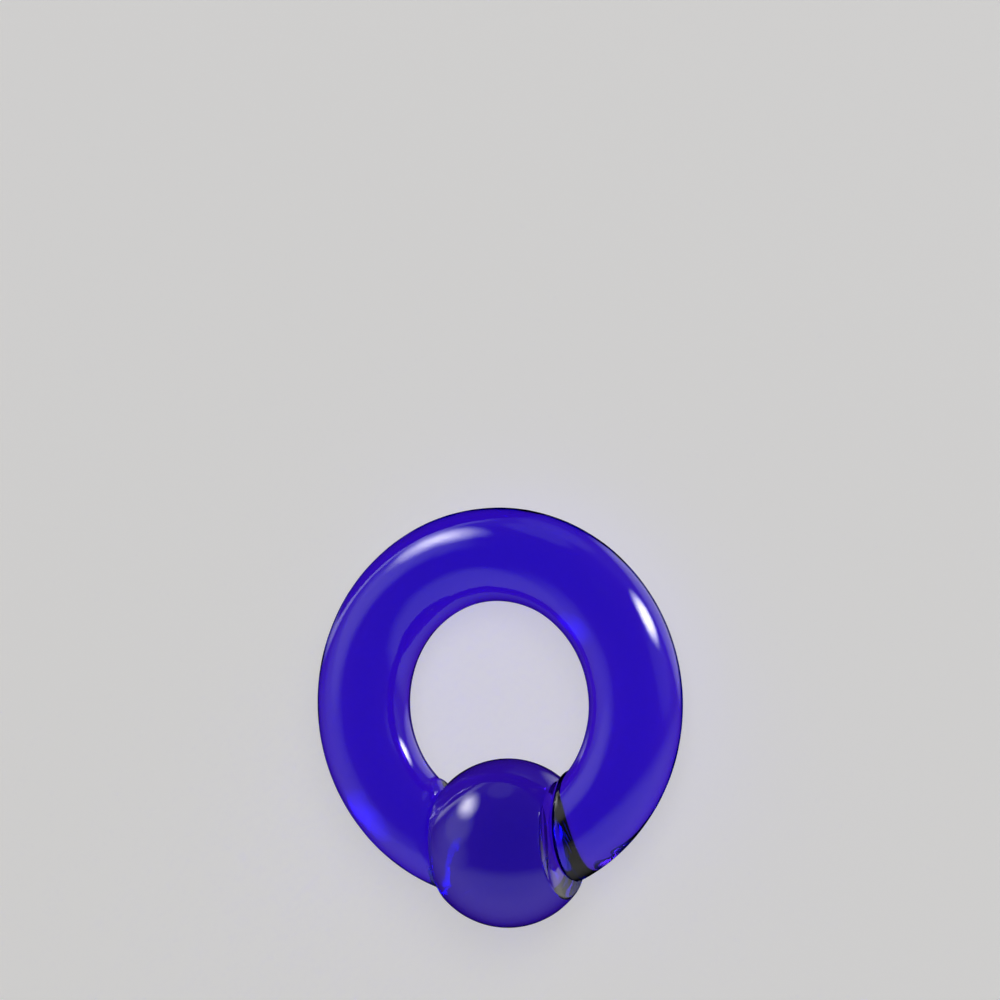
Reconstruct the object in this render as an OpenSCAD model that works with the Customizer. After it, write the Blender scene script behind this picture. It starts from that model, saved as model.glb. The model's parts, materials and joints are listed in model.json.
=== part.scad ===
// Captive bead ring: a round glass tube bent into a ring, with a ball held in its gap.
// It lies on its side as it rests by itself: on the foot of the ball, and on the far side of the tube.
// Millimetres. The origin is on the surface it lies on, under the middle of its bounding box,
// with +Z up, +X along the axis that the ball turns on, and +Y from the ball to the far side.

/* [Ring] */
// Diameter of the glass tube
tube_d = 10; // [8:0.5:11]
// Clear diameter inside the ring
hole_d = 21.7; // [20:0.1:26]
// Distance across the gap between the places where the two ends start to round
gap_w = 16.4; // [16:0.1:17]
// Diameter of the ball shape that rounds each end
nose_d = 20; // [19:0.5:22]

/* [Bead] */
// Diameter of the ball
bead_d = 18; // [17:0.5:20]
// Width of the ball over the rims of its two dished ends
bead_w = 13; // [12:0.1:13.4]
// Depth of the dish in each end, below its rim
dish_depth = 1.0; // [0.8:0.05:1.2]
// How far the ball's centre sits inside the tube's centre line
bead_inset = 1.05; // [0:0.05:2]
// Running gap between each rounded end and its dish, where they are closest
play = 0.15; // [0.1:0.05:0.3]

/* [Hidden] */
$fn = 128;

glass_blue = [0.11, 0.06, 0.72];

// The ring lies in its own XY plane at first, round its own centre, with the ball on the -Y side.
ring_r = (hole_d + tube_d) / 2;
bead_y = bead_inset - ring_r;

// Radius of the rim, where the ball's own surface meets its dished end. Then the ball shape that
// makes the dish: its radius, and where its centre lies.
rim_r = sqrt(pow(bead_d / 2, 2) - pow(bead_w / 2, 2));
dish_r = (pow(rim_r, 2) + pow(dish_depth, 2)) / (2 * dish_depth);
dish_x = bead_w / 2 - dish_depth + dish_r;
// The ball shape that rounds an end of the tube is level with the tube's own centre there. It lies
// inside the dish's like a small ball in a large one: the running gap is what their radii and the
// distance between their centres leave.
nose_y = -sqrt(pow(ring_r, 2) - pow(gap_w / 2, 2));
nose_x = dish_x - sqrt(pow(dish_r - nose_d / 2 - play, 2) - pow(nose_y - bead_y, 2));
// The slot starts inside the hole, and what cuts the glass runs this far past its outside.
slot_start_y = -hole_d / 4;
cut_margin = 2;

// At rest the ball and the far side of the tube both touch the surface, so the ring leans.
rest_tilt = asin((bead_d - tube_d) / 2 / (ring_r - bead_y));
ring_z = tube_d / 2 + ring_r * sin(rest_tilt);
// Ends of the whole along Y, about the ring's centre, and the shift that puts their middle at the origin.
near_y = bead_y * cos(rest_tilt) - bead_d / 2;
far_y = ring_r * cos(rest_tilt) + tube_d / 2;
rest_shift = -(near_y + far_y) / 2;

// Puts what is built flat round the ring's centre into its place at rest.
module at_rest() {
    translate([0, rest_shift, ring_z])
        rotate([-rest_tilt, 0, 0])
            children();
}

// The bent tube before it is cut: a whole torus.
module whole_tube() {
    rotate_extrude()
        translate([ring_r, 0])
            circle(d = tube_d);
}

// What is cut away for the ball: a straight slot, without the two rounded ends that stand into it.
module gap_cut() {
    slot_l = ring_r + tube_d / 2 + cut_margin + slot_start_y;
    slot_h = tube_d + 2 * cut_margin;
    difference() {
        translate([-gap_w / 2, slot_start_y - slot_l, -slot_h / 2])
            cube([gap_w, slot_l, slot_h]);
        for (side = [-1, 1])
            translate([side * nose_x, nose_y, 0])
                rotate([0, 90, 0])
                    sphere(d = nose_d);
    }
}

// The glass tube with its gap and its two rounded ends.
module ring() {
    color(glass_blue)
        at_rest()
            difference() {
                whole_tube();
                gap_cut();
            }
}

// The glass ball with a shallow dish in each end, where an end of the ring pinches it.
module bead() {
    color(glass_blue)
        at_rest()
            translate([0, bead_y, 0])
                difference() {
                    sphere(d = bead_d);
                    for (side = [-1, 1])
                        translate([side * dish_x, 0, 0])
                            rotate([0, 90, 0])
                                sphere(r = dish_r);
                }
}

ring();
bead();
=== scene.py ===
import json
import math

import bpy
from mathutils import Matrix, Vector


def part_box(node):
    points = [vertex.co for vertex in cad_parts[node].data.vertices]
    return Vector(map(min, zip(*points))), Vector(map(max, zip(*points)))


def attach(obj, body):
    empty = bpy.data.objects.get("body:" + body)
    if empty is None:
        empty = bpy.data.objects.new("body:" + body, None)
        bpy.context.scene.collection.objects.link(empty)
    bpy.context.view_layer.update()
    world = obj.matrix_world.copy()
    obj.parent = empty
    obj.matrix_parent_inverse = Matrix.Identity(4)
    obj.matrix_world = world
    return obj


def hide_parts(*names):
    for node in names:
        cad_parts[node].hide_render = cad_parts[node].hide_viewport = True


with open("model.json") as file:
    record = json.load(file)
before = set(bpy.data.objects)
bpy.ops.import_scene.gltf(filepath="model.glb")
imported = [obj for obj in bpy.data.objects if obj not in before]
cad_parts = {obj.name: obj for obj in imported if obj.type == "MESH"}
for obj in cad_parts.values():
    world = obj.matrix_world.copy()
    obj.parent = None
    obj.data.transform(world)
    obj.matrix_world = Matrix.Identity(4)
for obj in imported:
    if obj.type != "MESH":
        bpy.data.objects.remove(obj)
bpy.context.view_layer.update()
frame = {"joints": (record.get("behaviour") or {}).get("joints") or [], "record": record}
bpy.ops.object.select_all(action="DESELECT")

# Where it lies. A ring of round glass rod with a ball pinched in its gap, laid down on its side. It
# leans by a few degrees, because the ball is thicker than the rod: the ball's foot and the far side
# of the ring both touch the table. All of this is read from the frame.
MM = 0.001
ball_centre = Vector(frame["joints"][0]["pos_m"])
wearing_point = frame["record"]["mounts"][0]
far_point = Vector(wearing_point["pos_m"])
ROD_R = wearing_point["dims"]["r_mm"] * MM
RING_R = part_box("ring")[1].x - ROD_R
along = (far_point - ball_centre).normalized()
lean = math.atan2(-along.z, along.y)
ring_centre = far_point - RING_R * along
BALL_Y = -(ring_centre - ball_centre).length
flat_to_rest = Matrix.Translation(ring_centre) @ Matrix.Rotation(-lean, 4, "X")


def lay_down(piece):
    """Turns a piece made flat round the ring's centre into its place on the table, in its mesh."""
    piece.data.transform(flat_to_rest)
    piece.data.update()


# Camera. It stands where the photograph was taken from, as seen from the ring: 0.64 m off, about 24
# degrees to the ring's +X side, with a long lens. RING_PX is where the ring's centre falls in the
# frame, in pixels from its top left.
LENS = 216.0
SENSOR = 36.0
FRAME_PX = 1000
FOCAL_PX = LENS / SENSOR * FRAME_PX
RING_PX = (498.4, 703.7)
DISTANCE = 636.3 * MM
NEAR_CLIP = 0.01
FAR_CLIP = 20
# How the ring is turned in the camera's axes.
YAW = math.radians(-24.45)
PITCH = math.radians(-1.82)
ROLL = math.radians(3.87)
to_camera = (
    Matrix.Rotation(ROLL, 4, "Z")
    @ Matrix.Rotation(PITCH, 4, "X")
    @ Matrix.Rotation(YAW, 4, "Y")
)
ring_in_view = Vector((
    (RING_PX[0] - FRAME_PX / 2) * DISTANCE / FOCAL_PX,
    (FRAME_PX / 2 - RING_PX[1]) * DISTANCE / FOCAL_PX,
    -DISTANCE,
))
camera_place = flat_to_rest @ (Matrix.Translation(ring_in_view) @ to_camera).inverted()
camera_data = bpy.data.cameras.new("camera")
camera_data.lens = LENS
camera_data.sensor_width = SENSOR
camera_data.clip_start = NEAR_CLIP
camera_data.clip_end = FAR_CLIP
camera = bpy.data.objects.new("camera", camera_data)
camera.matrix_world = camera_place
bpy.context.scene.collection.objects.link(camera)
bpy.context.scene.camera = camera

# Table. A pale matt table top, lit softly from within like a photographer's light table, so that
# the glass lies on an even ground. The glass mirrors the room and not the table, so that its edges
# stay dark and thin.
TABLE_W = 6.0
TABLE_COLOUR = (0.55, 0.545, 0.545, 1)
TABLE_ROUGHNESS = 0.6
TABLE_GLOSS = 0.2
TABLE_GLOW = 0.51
TABLE_GLOW_TINT = (1.0, 0.99, 0.98, 1)
bpy.ops.mesh.primitive_plane_add(size=TABLE_W)
table = bpy.context.object
table.name = "table"
table.visible_glossy = False
table_top = bpy.data.materials.new("pale matt table")
table_top.use_nodes = True
table_shader = table_top.node_tree.nodes["Principled BSDF"]
table_shader.inputs["Base Color"].default_value = TABLE_COLOUR
table_shader.inputs["Roughness"].default_value = TABLE_ROUGHNESS
table_shader.inputs["Specular IOR Level"].default_value = TABLE_GLOSS
table_shader.inputs["Emission Color"].default_value = TABLE_GLOW_TINT
table_shader.inputs["Emission Strength"].default_value = TABLE_GLOW
table.data.materials.append(table_top)
bpy.ops.object.select_all(action="DESELECT")

# The room. It shows only in the glass, and is given in the camera's axes: right, up, and back to the
# camera. It is pale below the ring and at its left, has a few pale patches round it, and is dim
# elsewhere. Behind the ring are a dark doorway, whose frame is lit at its left, and a window.
ROOM_TINT = (1.0, 0.985, 0.97, 1)
# Each row is the middle of one side of the room, how near to it a direction is when the side starts
# to show and when it shows in full, as cosines, and how bright it is.
PALE_SIDES = (
    ((0, 0, -1), -0.45, 0.10, 0.20),  # dim, the half behind the ring
    ((0, 0, 1), -1.0, -0.9, 0.10),  # faint, nearly all round
    ((0, -1, -0.5), 0.05, 0.42, 0.70),  # below
    ((-1, -0.1, 0), 0.74, 0.99, 0.60),  # at the left
    ((0.12, 0.97, -0.2), 0.93, 0.985, 0.45),  # a patch overhead
    ((0.92, 0.30, 0.22), 0.84, 0.98, 0.40),  # a patch at the right
    ((-0.92, 0.29, 0.18), 0.86, 0.99, 1.05),  # the brightest, at the left and higher
    ((-0.13, 0.96, 0.13), 0.95, 0.985, 0.40),  # a patch overhead, nearer the camera
)
# The rest are written in the same way. The pale sides fade out towards the back of the room, and
# stop at the doorway.
IN_FRONT = ((0, 0, 1), -0.90, 0.15, 1.0)
DOORWAY = Vector((-0.41, 0.63, -0.66))
OFF_DOORWAY = (-DOORWAY, -0.89, -0.87, 1.0)
# The frame lies round the doorway, and is brighter the further left it is.
ROUND_DOORWAY = (DOORWAY, 0.80, 0.86, 1.0)
FRAME_LEFT = ((-1, 0, 0.4), 0.0, 0.75, 2.0)
WINDOW = ((0.66, 0.39, -0.64), 0.89, 0.97, 0.9)

world = bpy.data.worlds.new("pale room")
world.use_nodes = True
room = world.node_tree.nodes["Background"]
room.inputs["Color"].default_value = ROOM_TINT
toward = world.node_tree.nodes.new("ShaderNodeTexCoord")


def in_the_room(seen_from_ring):
    """Turns a direction in the camera's axes (right, up, back to the camera) into the room's."""
    return camera_place.to_3x3() @ Vector(seen_from_ring).normalized()


def one_side(middle, starts, full, strength):
    """One side of the room: it fades in as a direction nears its middle."""
    nearness = world.node_tree.nodes.new("ShaderNodeVectorMath")
    nearness.operation = "DOT_PRODUCT"
    nearness.inputs[1].default_value = in_the_room(middle)
    fade = world.node_tree.nodes.new("ShaderNodeMapRange")
    fade.interpolation_type = "SMOOTHSTEP"
    fade.inputs["From Min"].default_value = starts
    fade.inputs["From Max"].default_value = full
    fade.inputs["To Max"].default_value = strength
    world.node_tree.links.new(toward.outputs["Generated"], nearness.inputs[0])
    world.node_tree.links.new(nearness.outputs["Value"], fade.inputs["Value"])
    return fade.outputs["Result"]


def together(operation, first, second):
    """Joins two sides of the room by the lighter of both, or by one fading the other."""
    both = world.node_tree.nodes.new("ShaderNodeMath")
    both.operation = operation
    world.node_tree.links.new(first, both.inputs[0])
    world.node_tree.links.new(second, both.inputs[1])
    return both.outputs["Value"]


pale_room = one_side(*PALE_SIDES[0])
for side in PALE_SIDES[1:]:
    pale_room = together("MAXIMUM", pale_room, one_side(*side))
off_doorway = one_side(*OFF_DOORWAY)
for shade in (off_doorway, one_side(*IN_FRONT)):
    pale_room = together("MULTIPLY", pale_room, shade)
door_frame = together("MULTIPLY", one_side(*ROUND_DOORWAY), off_doorway)
door_frame = together("MULTIPLY", door_frame, one_side(*FRAME_LEFT))
for bright in (door_frame, one_side(*WINDOW)):
    pale_room = together("MAXIMUM", pale_room, bright)
world.node_tree.links.new(pale_room, room.inputs["Strength"])
world.cycles_visibility.diffuse = False
bpy.context.scene.world = world
bpy.context.scene.view_settings.view_transform = "Standard"

# The soft boxes. Each does one thing: the left and right ones are mirrored by the glass, the overhead
# one lights the table, and the last two are gathered by the glass into the bright streaks and spots
# inside it.
# A row is the box's name, its direction in the camera's axes, its distance from the ring, its width
# and height, its core, its watts, its tint and what it does. The core is how far from its middle it
# is at its brightest, as a part of its width. Below nought, it stays short of that.
WHITE = (1.0, 1.0, 1.0)
SOFT_BOXES = (
    ("left soft box", (-0.73, 0.67, 0.13), 0.7, 0.46, 0.58, -0.2, 19.0, (1.0, 0.98, 0.95), "mirrored"),
    ("right soft box", (0.81, 0.58, 0.10), 0.8, 0.42, 0.58, 0.0, 25.5, (1.0, 0.98, 0.96), "mirrored"),
    ("overhead soft box", (0.0, 0.25, 1.0), 1.5, 1.2, 1.2, 0.1, 17.0, WHITE, "lights table"),
    ("high soft box", (0.0, 0.65, 0.75), 0.7, 0.46, 0.17, -0.1, 5.6, WHITE, "gathered"),
    ("small soft box", (0.67, 0.61, 0.43), 0.7, 0.28, 0.28, 0.1, 27.0, WHITE, "gathered"),
)
# Where a box's middle is across its face, and how far from there it is dark.
BOX_MIDDLE = (0.5, 0.5, 0)
BOX_EDGE = 0.5


def soft_box(name, seen_from_ring, distance, width, height, core, watts, tint, use):
    """An area light that faces the ring, brightest at its middle and dark at its edge."""
    data = bpy.data.lights.new(name, "AREA")
    data.shape = "RECTANGLE"
    data.size = width
    data.size_y = height
    data.energy = watts
    data.color = tint
    data.use_nodes = True
    nodes = data.node_tree.nodes
    place = nodes.new("ShaderNodeNewGeometry")
    off = nodes.new("ShaderNodeVectorMath")
    off.operation = "DISTANCE"
    off.inputs[1].default_value = BOX_MIDDLE
    glow = nodes.new("ShaderNodeMapRange")
    glow.interpolation_type = "SMOOTHSTEP"
    glow.inputs["From Min"].default_value = BOX_EDGE
    glow.inputs["From Max"].default_value = core
    data.node_tree.links.new(place.outputs["Parametric"], off.inputs[0])
    data.node_tree.links.new(off.outputs["Value"], glow.inputs["Value"])
    data.node_tree.links.new(glow.outputs["Result"], nodes["Emission"].inputs["Strength"])
    light = bpy.data.objects.new(name, data)
    direction = in_the_room(seen_from_ring)
    light.location = ring_centre + distance * direction
    light.rotation_mode = "QUATERNION"
    light.rotation_quaternion = (-direction).to_track_quat("-Z", "Y")
    light.visible_camera = False
    light.visible_glossy = (use == "mirrored")
    light.visible_diffuse = (use == "lights table")
    light.visible_transmission = (use == "gathered")
    bpy.context.scene.collection.objects.link(light)


for box in SOFT_BOXES:
    soft_box(*box)


# The ring. A solid rod of clear cobalt borosilicate glass, bent hot round a former and left open.
# Its two ends are ground back parallel across the gap and melted to a low round, and they sit in
# the ball's dishes.
ROUND_STEPS = 96
BEND_STEPS = 120
# Where an end starts to round, from the middle of the gap, and how far its round stands into the gap.
ROUND_START_X = 7.95 * MM
ROUND_DEPTH = 2.21 * MM
END_RINGS = 18
# A point this near to the plane that the rounding starts from counts as on it.
ON_PLANE = 1e-7
# How wide the waves are that the hand leaves in the glass, and how deep they are in the rod.
UNEVEN_SIZE = 5.5 * MM
ROD_UNEVENNESS = 0.07 * MM
# The sweep stops this far to each side of the gap's middle, and the last stretch is then slid
# along the bend until its edge lies on the plane that the rounding starts from.
SWEEP_START = math.asin(ROUND_START_X / RING_R)
SLIDE_END = math.radians(75)
end_y = -math.sqrt(RING_R**2 - ROUND_START_X**2)

bpy.ops.mesh.primitive_circle_add(
    vertices=ROUND_STEPS,
    radius=ROD_R,
    location=(RING_R * math.sin(SWEEP_START), -RING_R * math.cos(SWEEP_START), 0),
    rotation=(math.pi / 2, 0, SWEEP_START - math.pi / 2),
)
ring = bpy.context.object
ring.name = "glass_ring"
bpy.ops.object.transform_apply(location=True, rotation=True, scale=True)
bpy.ops.object.mode_set(mode="EDIT")
bpy.ops.mesh.select_all(action="SELECT")
bpy.ops.mesh.spin(
    steps=BEND_STEPS,
    angle=2 * math.pi - 2 * SWEEP_START,
    center=(0, 0, 0),
    axis=(0, 0, -1),
)
bpy.ops.object.mode_set(mode="OBJECT")
for v in ring.data.vertices:
    out = math.hypot(v.co.x, v.co.y)
    turn = math.atan2(abs(v.co.x), -v.co.y)
    if turn < SLIDE_END:
        share = (turn - SWEEP_START) / (SLIDE_END - SWEEP_START)
        start = math.asin(ROUND_START_X / out)
        new_turn = start + share * (SLIDE_END - start)
        v.co.x = math.copysign(out * math.sin(new_turn), v.co.x)
        v.co.y = -out * math.cos(new_turn)
bpy.ops.object.mode_set(mode="EDIT")
bpy.ops.mesh.select_mode(type="EDGE")
for side in (-1, 1):
    # The open end's own edge is drawn in, ring by ring, over a quarter of an oval.
    bpy.ops.mesh.select_all(action="DESELECT")
    bpy.ops.object.mode_set(mode="OBJECT")
    for e in ring.data.edges:
        ends = [ring.data.vertices[i].co for i in e.vertices]
        e.select = all(p.y < 0 and abs(p.x - side * ROUND_START_X) < ON_PLANE for p in ends)
    bpy.ops.object.mode_set(mode="EDIT")
    for step in range(1, END_RINGS):
        angle = step / END_RINGS * math.pi / 2
        last = (step - 1) / END_RINGS * math.pi / 2
        bpy.ops.mesh.extrude_edges_move()
        bpy.ops.transform.resize(
            value=[math.cos(angle) / math.cos(last)] * 3,
            center_override=(side * (ROUND_START_X - ROUND_DEPTH * math.sin(last)), end_y, 0),
        )
        bpy.ops.transform.translate(
            value=(-side * ROUND_DEPTH * (math.sin(angle) - math.sin(last)), 0, 0)
        )
    bpy.ops.mesh.edge_face_add()
    bpy.ops.mesh.poke()
bpy.ops.mesh.select_all(action="SELECT")
bpy.ops.mesh.normals_make_consistent(inside=False)
bpy.ops.object.mode_set(mode="OBJECT")

uneven = bpy.data.textures.new("uneven by hand", "CLOUDS")
uneven.noise_scale = UNEVEN_SIZE


def finish_in_the_flame(piece, unevenness):
    """Smooths the piece's mesh and leaves it a little uneven, as glass worked by hand is."""
    smooth = piece.modifiers.new("smooth", "SUBSURF")
    smooth.levels = smooth.render_levels = 1
    bpy.ops.object.modifier_apply(modifier="smooth")
    bpy.ops.object.shade_smooth()
    wave = piece.modifiers.new("uneven", "DISPLACE")
    wave.texture = uneven
    wave.texture_coords = "LOCAL"
    wave.mid_level = 1.0
    wave.strength = unevenness
    bpy.ops.object.modifier_apply(modifier="uneven")


finish_in_the_flame(ring, ROD_UNEVENNESS)
lay_down(ring)

# The glass that both pieces are made of, with the rod's own blue and how much of it there is per
# metre. Smudges and ripples are a few millimetres across. The glass is clean where the smudges'
# noise is below the first of its two limits, and most smudged above the second.
GLASS_IOR = 1.47
CLEAR = (1, 1, 1, 1)
SMUDGES_PER_M = 240
SMUDGE_DETAIL = 5
SMUDGE_FROM = 0.45
SMUDGE_TO = 0.75
CLEAN_ROUGHNESS = 0.008
SMUDGED_ROUGHNESS = 0.06
RIPPLES_PER_M = 360
RIPPLE_DETAIL = 1
RIPPLE_HEIGHT = 0.012 * MM
ROD_BLUE = (0.42, 0.036, 0.963, 1)
ROD_DENSITY = 560


def cobalt_glass(name, colour, density):
    """Clear cobalt glass: its colour is in its body, with faint smudges and ripples at its skin."""
    glass = bpy.data.materials.new(name)
    glass.use_nodes = True
    nodes = glass.node_tree.nodes
    shader = nodes["Principled BSDF"]
    shader.inputs["Base Color"].default_value = CLEAR
    shader.inputs["IOR"].default_value = GLASS_IOR
    shader.inputs["Transmission Weight"].default_value = 1
    depth = nodes.new("ShaderNodeVolumeAbsorption")
    depth.inputs["Color"].default_value = colour
    depth.inputs["Density"].default_value = density
    place = nodes.new("ShaderNodeTexCoord")
    smudge = nodes.new("ShaderNodeTexNoise")
    smudge.inputs["Scale"].default_value = SMUDGES_PER_M
    smudge.inputs["Detail"].default_value = SMUDGE_DETAIL
    gloss = nodes.new("ShaderNodeMapRange")
    gloss.inputs["From Min"].default_value = SMUDGE_FROM
    gloss.inputs["From Max"].default_value = SMUDGE_TO
    gloss.inputs["To Min"].default_value = CLEAN_ROUGHNESS
    gloss.inputs["To Max"].default_value = SMUDGED_ROUGHNESS
    ripple = nodes.new("ShaderNodeTexNoise")
    ripple.inputs["Scale"].default_value = RIPPLES_PER_M
    ripple.inputs["Detail"].default_value = RIPPLE_DETAIL
    relief = nodes.new("ShaderNodeBump")
    relief.inputs["Distance"].default_value = RIPPLE_HEIGHT
    for a, b in (
        (depth.outputs["Volume"], nodes["Material Output"].inputs["Volume"]),
        (place.outputs["Object"], smudge.inputs["Vector"]),
        (smudge.outputs["Fac"], gloss.inputs["Value"]),
        (gloss.outputs["Result"], shader.inputs["Roughness"]),
        (place.outputs["Object"], ripple.inputs["Vector"]),
        (ripple.outputs["Fac"], relief.inputs["Height"]),
        (relief.outputs["Normal"], shader.inputs["Normal"]),
    ):
        glass.node_tree.links.new(a, b)
    return glass


ring.data.materials.append(cobalt_glass("cobalt glass rod", ROD_BLUE, ROD_DENSITY))
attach(ring, "ring")
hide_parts("ring")


# The ball. The same cobalt glass, a lamp-worked ball pressed at both ends with a shallow dish, its
# rims softened in the flame. The ring's two rounded ends pinch it there, and it can turn between
# them. It stands on the table, so its centre is as high as its radius.
BALL_R = ball_centre.z
BALL_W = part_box("bead")[1].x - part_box("bead")[0].x
DISH_DEPTH = 1.0 * MM
RIM_ROUNDING = 0.35 * MM
RIM_STEPS = 3
BALL_STEPS = 128
ARC_STEPS = 80
DISH_RINGS = 14
# A point this near to a pressed end or to its rim counts as on it.
TOUCHING = 1e-6
BALL_UNEVENNESS = 0.05 * MM
BALL_BLUE = (0.379, 0.042, 0.889, 1)
BALL_DENSITY = 330
rim_r = math.sqrt(BALL_R**2 - (BALL_W / 2) ** 2)
dish_r = (rim_r**2 + DISH_DEPTH**2) / (2 * DISH_DEPTH)
dish_x = BALL_W / 2 - DISH_DEPTH


def from_axis(point):
    """How far a point is from the line that the ball turns on."""
    return math.hypot(point.y - BALL_Y, point.z)


def on_pressed_end(point):
    """Whether a point lies on one of the two flats that the dishes are pressed into."""
    return abs(abs(point.x) - BALL_W / 2) < TOUCHING


bpy.ops.object.select_all(action="DESELECT")
bpy.ops.mesh.primitive_uv_sphere_add(
    segments=BALL_STEPS,
    ring_count=ARC_STEPS,
    radius=BALL_R,
    location=(0, BALL_Y, 0),
    rotation=(0, math.pi / 2, 0),
)
ball = bpy.context.object
ball.name = "glass_ball"
bpy.ops.object.transform_apply(location=True, rotation=True, scale=True)
bpy.ops.object.mode_set(mode="EDIT")
bpy.ops.mesh.select_mode(type="EDGE")
for side in (-1, 1):
    centre = (side * BALL_W / 2, BALL_Y, 0)
    bpy.ops.mesh.select_all(action="SELECT")
    bpy.ops.mesh.bisect(plane_co=centre, plane_no=(side, 0, 0), clear_outer=True)
    for step in range(DISH_RINGS - 1, 0, -1):
        shrink = step / (step + 1)
        bpy.ops.mesh.extrude_edges_move()
        bpy.ops.transform.resize(value=(1, shrink, shrink), center_override=centre)
    bpy.ops.mesh.edge_face_add()
    bpy.ops.mesh.poke()
bpy.ops.mesh.select_all(action="SELECT")
bpy.ops.mesh.normals_make_consistent(inside=False)
bpy.ops.mesh.select_all(action="DESELECT")
bpy.ops.object.mode_set(mode="OBJECT")
# The rims are picked while the ends are still flat, and then the dishes are pressed in.
for e in ball.data.edges:
    ends = [ball.data.vertices[i].co for i in e.vertices]
    e.select = all(on_pressed_end(p) and abs(from_axis(p) - rim_r) < TOUCHING for p in ends)
for v in ball.data.vertices:
    off = from_axis(v.co)
    if on_pressed_end(v.co) and off < rim_r - TOUCHING:
        v.co.x = math.copysign(dish_x + dish_r - math.sqrt(dish_r**2 - off**2), v.co.x)
bpy.ops.object.mode_set(mode="EDIT")
bpy.ops.mesh.bevel(offset=RIM_ROUNDING, segments=RIM_STEPS, affect="EDGES")
bpy.ops.object.mode_set(mode="OBJECT")
finish_in_the_flame(ball, BALL_UNEVENNESS)
lay_down(ball)
ball.data.materials.append(cobalt_glass("cobalt glass ball", BALL_BLUE, BALL_DENSITY))
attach(ball, "bead")
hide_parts("bead")
